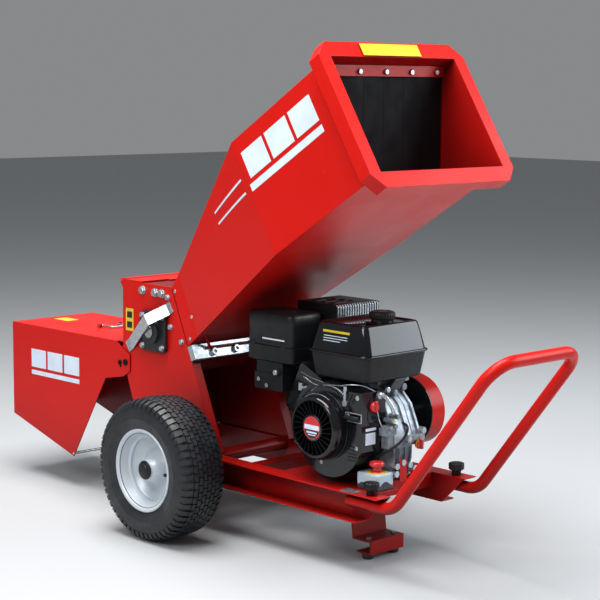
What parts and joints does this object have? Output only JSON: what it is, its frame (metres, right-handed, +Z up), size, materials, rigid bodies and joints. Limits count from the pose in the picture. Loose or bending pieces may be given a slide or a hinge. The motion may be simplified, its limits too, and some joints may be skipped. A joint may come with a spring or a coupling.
{
  "type": "wood chipper",
  "caption": "Petrol wood chipper on a two-wheeled chassis: feed hopper with rubber curtain, belt-driven knife rotor, lifting discharge chute and sliding pull handle.",
  "frame": {"origin": "on the ground under the middle of the machine's bounding box", "axes": "+X towards the pull handle, +Y away from the recoil starter side, +Z up"},
  "size_m": [2.03, 0.8, 1.3641],
  "materials": {
    "red_paint": "glossy powder coat",
    "silver_paint": "satin paint",
    "tyre_rubber": "matte",
    "cap_plastic": "satin",
    "foot_rubber": "matte",
    "curtain_rubber": "satin",
    "zinc": "zinc plated",
    "tool_steel": "ground",
    "shaft_steel": "turned",
    "cast_black": "painted casting",
    "knob_plastic": "matte",
    "grey_plastic": "satin",
    "dark_plastic": "satin",
    "red_plastic": "glossy",
    "cast_aluminium": "cast",
    "black_sheet": "glossy black paint",
    "black_plastic": "satin",
    "belt_rubber": "matte",
    "pulley_iron": "machined"
  },
  "bodies": {
    "machine": {"axle": "shaft_steel", "near_rail": "red_paint", "far_rail": "red_paint", "cross_members": "red_paint", "engine_plate": "red_paint", "support_leg": "red_paint", "rubber_feet": "foot_rubber", "estop_base": "dark_plastic", "estop_cover": "grey_plastic", "near_side_plate": "red_paint", "far_side_plate": "red_paint", "rotor_casing": "red_paint", "anvil_bar": "zinc", "bed_knife": "tool_steel", "bearing_housings": "cast_black", "cover_hinge_pin": "zinc", "shaft_guard": "zinc", "hex_bolts": "zinc", "hopper_funnel": "red_paint", "hopper_rim": "red_paint", "curtain_bar": "red_paint", "drive_belts": "belt_rubber", "belt_guard": "red_paint", "belt_guard_back": "black_sheet", "engine_block": "cast_aluminium", "fan_shroud": "black_sheet", "recoil_cover": "black_sheet", "fuel_tank": "black_sheet", "air_filter_box": "black_plastic", "carburettor": "black_plastic", "muffler": "black_sheet", "muffler_guard": "black_sheet", "stop_lead": "cap_plastic"},
    "near_wheel": {"near_tyre": "tyre_rubber", "near_rim": "silver_paint", "near_hub_cap": "cap_plastic"},
    "far_wheel": {"far_tyre": "tyre_rubber", "far_rim": "silver_paint", "far_hub_cap": "cap_plastic"},
    "handle": {"handlebar": "red_paint"},
    "near_knob": {"near_clamp_knob": "knob_plastic"},
    "far_knob": {"far_clamp_knob": "knob_plastic"},
    "stop_button": {"estop_button": "red_plastic"},
    "access_cover": {"top_cover": "red_paint"},
    "feed_curtain": {"curtain": "curtain_rubber"},
    "chute": {"chute_hood": "red_paint", "chute_rod": "zinc"},
    "chute_loop": {"chute_handle": "zinc"},
    "rotor": {"rotor_shaft": "shaft_steel", "rotor_drum": "shaft_steel", "rotor_knives": "tool_steel", "rotor_pulley": "pulley_iron"},
    "crank": {"crankshaft": "shaft_steel", "flywheel": "pulley_iron", "engine_pulley": "pulley_iron"},
    "starter_grip": {"recoil_grip": "black_plastic"},
    "tank_cap": {"fuel_cap": "black_plastic"},
    "ignition_switch": {"engine_switch": "red_plastic"},
    "throttle": {"throttle_lever": "zinc"},
    "dipstick": {"oil_dipstick": "red_plastic"}
  },
  "joints": [
    {"name": "near_wheel_spin", "type": "hinge", "parent": "machine", "child": "near_wheel", "pos_m": [-0.057, -0.325, 0.2], "axis": [0, 1, 0], "continuous": true},
    {"name": "far_wheel_spin", "type": "hinge", "parent": "machine", "child": "far_wheel", "pos_m": [-0.057, 0.325, 0.2], "axis": [0, 1, 0], "continuous": true},
    {"name": "rotor_spin", "type": "hinge", "parent": "machine", "child": "rotor", "pos_m": [-0.289, 0, 0.539], "axis": [0, 1, 0], "continuous": true},
    {"name": "crank_spin", "type": "hinge", "parent": "machine", "child": "crank", "pos_m": [0.408, 0, 0.364], "axis": [0, 1, 0], "continuous": true},
    {"name": "access_cover_open", "type": "hinge", "parent": "machine", "child": "access_cover", "pos_m": [-0.447, 0, 0.676], "axis": [0, -1, 0], "range_deg": [0, 100]},
    {"name": "chute_lift", "type": "hinge", "parent": "machine", "child": "chute", "pos_m": [-0.425, 0, 0.43], "axis": [0, 1, 0], "range_deg": [0, 20]},
    {"name": "chute_loop_fold", "type": "hinge", "parent": "chute", "child": "chute_loop", "pos_m": [-0.722, 0.008, 0.4955], "axis": [0, -1, 0], "range_deg": [0, 95]},
    {"name": "curtain_swing", "type": "hinge", "parent": "machine", "child": "feed_curtain", "pos_m": [0.4665, 0, 1.3], "axis": [0, 1, 0], "range_deg": [0, 45]},
    {"name": "handle_slide", "type": "slide", "parent": "machine", "child": "handle", "axis": [1, 0, 0], "range_m": [0, 0.06]},
    {"name": "near_knob_turn", "type": "hinge", "parent": "machine", "child": "near_knob", "pos_m": [0.598, -0.166, 0.24], "axis": [0, 0, 1], "range_deg": [0, 180]},
    {"name": "far_knob_turn", "type": "hinge", "parent": "machine", "child": "far_knob", "pos_m": [0.598, 0.166, 0.24], "axis": [0, 0, 1], "range_deg": [0, 180]},
    {"name": "stop_button_press", "type": "slide", "parent": "machine", "child": "stop_button", "axis": [0, 0, -1], "range_m": [0, 0.005], "stiffness_N_per_m": 600},
    {"name": "tank_cap_turn", "type": "hinge", "parent": "machine", "child": "tank_cap", "pos_m": [0.473, 0, 0.65], "axis": [0, 0, 1], "range_deg": [0, 90]},
    {"name": "ignition_switch_turn", "type": "hinge", "parent": "machine", "child": "ignition_switch", "pos_m": [0.55, -0.108, 0.43], "axis": [1, 0, 0], "range_deg": [0, 90]},
    {"name": "throttle_move", "type": "hinge", "parent": "machine", "child": "throttle", "pos_m": [0.488, -0.153, 0.436], "axis": [0, 1, 0], "range_deg": [-25, 25]},
    {"name": "dipstick_turn", "type": "hinge", "parent": "machine", "child": "dipstick", "pos_m": [0.58, 0.03, 0.318], "axis": [1, 0, 0], "range_deg": [0, 180]},
    {"name": "starter_pull", "type": "slide", "parent": "machine", "child": "starter_grip", "axis": [0, -1, 0], "range_m": [0, 0.07], "stiffness_N_per_m": 60}
  ],
  "couplings": [
    {"joint": "crank_spin", "follows": "rotor_spin", "ratio": 1.3214}
  ]
}
